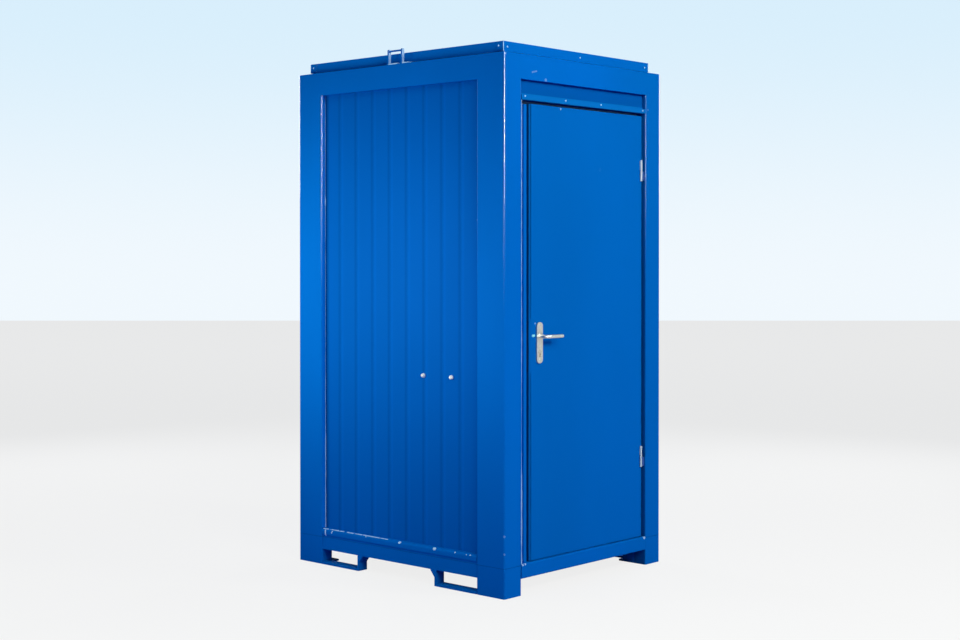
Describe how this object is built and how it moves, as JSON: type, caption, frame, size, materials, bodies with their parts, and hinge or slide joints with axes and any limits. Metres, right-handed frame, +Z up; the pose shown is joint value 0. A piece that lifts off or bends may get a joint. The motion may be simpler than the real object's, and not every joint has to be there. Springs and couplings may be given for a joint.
{
  "type": "portable toilet cabin",
  "caption": "Portable toilet cabin: welded steel corner posts and beams, ribbed sandwich walls, an outward steel door with lever lock, fork pockets, and a toilet and hand basin inside.",
  "frame": {"origin": "on the ground, under the middle of the steel frame's rectangular plan", "axes": "+Z up; the door is in the front, which faces -Y; the door's hinges are on the +X side"},
  "size_m": [1.2, 1.471, 2.558],
  "materials": {
    "frame_paint": "gloss blue enamel",
    "roof_paint": "satin blue coated sheet",
    "panel_paint": "satin blue coated sheet",
    "ceiling_sheet": "white coated sheet",
    "floor_board": "sealed plywood",
    "floor_vinyl": "grained grey vinyl",
    "seal_rubber": "black rubber",
    "stainless": "brushed stainless",
    "lock_steel": "zinc plated",
    "cylinder_brass": "nickel plated brass",
    "sanitary_ware": "white glaze",
    "white_plastic": "gloss white",
    "pipe_plastic": "grey pipe",
    "chrome_plate": "polished chrome",
    "mirror_glass": "silvered glass",
    "tissue": "white tissue"
  },
  "bodies": {
    "cabin": {"base_beam_front": "frame_paint", "base_beam_left": "frame_paint", "base_beam_rear": "frame_paint", "base_beam_right": "frame_paint", "basin_bolts": "stainless", "basin_trap": "pipe_plastic", "ceiling_light": "white_plastic", "ceiling_panel": "ceiling_sheet", "cistern": "sanitary_ware", "cistern_lid": "sanitary_ware", "door_head": "frame_paint", "door_jamb_hinge": "frame_paint", "door_jamb_lock": "frame_paint", "door_seal": "seal_rubber", "drip_ledge": "frame_paint", "floor_panel": "floor_board", "floor_sheet": "floor_vinyl", "fork_pockets_left": "frame_paint", "fork_pockets_right": "frame_paint", "hinge_barrels_fixed": "lock_steel", "lifting_bracket_left": "frame_paint", "lifting_bracket_right": "frame_paint", "mirror": "mirror_glass", "paper_holder": "stainless", "post_front_left": "frame_paint", "post_front_right": "frame_paint", "post_rear_left": "frame_paint", "post_rear_right": "frame_paint", "roof_cap": "roof_paint", "seat_hinge": "white_plastic", "soil_pipe": "pipe_plastic", "switch_box": "white_plastic", "tap_body": "chrome_plate", "toilet_bowl": "sanitary_ware", "top_beam_front": "frame_paint", "top_beam_left": "frame_paint", "top_beam_rear": "frame_paint", "top_beam_right": "frame_paint", "transom_panel": "panel_paint", "wall_panel_left": "panel_paint", "wall_panel_rear": "panel_paint", "wall_panel_right": "panel_paint", "wash_basin": "sanitary_ware"},
    "door": {"door_leaf": "panel_paint", "hinge_barrels_leaf": "lock_steel", "lock_case": "lock_steel", "handle_plates": "stainless", "lock_cylinder": "cylinder_brass"},
    "latch": {"latch_bolt": "stainless"},
    "deadbolt": {"dead_bolt": "stainless"},
    "levers": {"lever_outer": "stainless", "lever_inner": "stainless"},
    "turn": {"thumb_turn": "stainless"},
    "seat": {"toilet_seat": "white_plastic"},
    "lid": {"toilet_lid": "white_plastic"},
    "button": {"flush_button": "chrome_plate"},
    "tap_handle": {"tap_lever": "chrome_plate"},
    "roll": {"paper_roll": "tissue"},
    "rocker": {"switch_rocker": "white_plastic"}
  },
  "joints": [
    {"name": "door_swing", "type": "hinge", "parent": "cabin", "child": "door", "pos_m": [0.454, -0.69, 1.2], "axis": [0, 0, 1], "range_deg": [0, 160]},
    {"name": "lever_turn", "type": "hinge", "parent": "door", "child": "levers", "pos_m": [-0.34, -0.662, 1.185], "axis": [0, 1, 0], "range_deg": [0, 40], "stiffness_Nm_per_rad": 1.5, "springref_deg": -20.05},
    {"name": "latch_slide", "type": "slide", "parent": "door", "child": "latch", "axis": [1, 0, 0], "range_m": [0, 0.012]},
    {"name": "thumb_turn", "type": "hinge", "parent": "door", "child": "turn", "pos_m": [-0.34, -0.662, 1.113], "axis": [0, 1, 0], "range_deg": [0, 360]},
    {"name": "bolt_slide", "type": "slide", "parent": "door", "child": "deadbolt", "axis": [-1, 0, 0], "range_m": [0, 0.02]},
    {"name": "seat_swing", "type": "hinge", "parent": "cabin", "child": "seat", "pos_m": [0, 0.385, 0.5615], "axis": [-1, 0, 0], "range_deg": [0, 93]},
    {"name": "lid_swing", "type": "hinge", "parent": "cabin", "child": "lid", "pos_m": [0, 0.385, 0.5615], "axis": [-1, 0, 0], "range_deg": [-93.5, 0]},
    {"name": "flush_press", "type": "slide", "parent": "cabin", "child": "button", "axis": [0, 0, -1], "range_m": [0, 0.006], "stiffness_N_per_m": 400, "springref_m": -0.003},
    {"name": "tap_turn", "type": "hinge", "parent": "cabin", "child": "tap_handle", "pos_m": [-0.4725, -0.2585, 1.11], "axis": [0, 0, 1], "range_deg": [0, 90]},
    {"name": "roll_spin", "type": "hinge", "parent": "cabin", "child": "roll", "pos_m": [0.449, -0.06, 0.86], "axis": [0, 1, 0], "continuous": true},
    {"name": "rocker_tilt", "type": "hinge", "parent": "cabin", "child": "rocker", "pos_m": [0.506, -0.44, 1.2], "axis": [0, 1, 0], "range_deg": [-8, 0]}
  ],
  "couplings": [
    {"joint": "latch_slide", "follows": "lever_turn", "m_per_rad": 0.01718},
    {"joint": "bolt_slide", "follows": "thumb_turn", "m_per_rad": 0.003183}
  ]
}
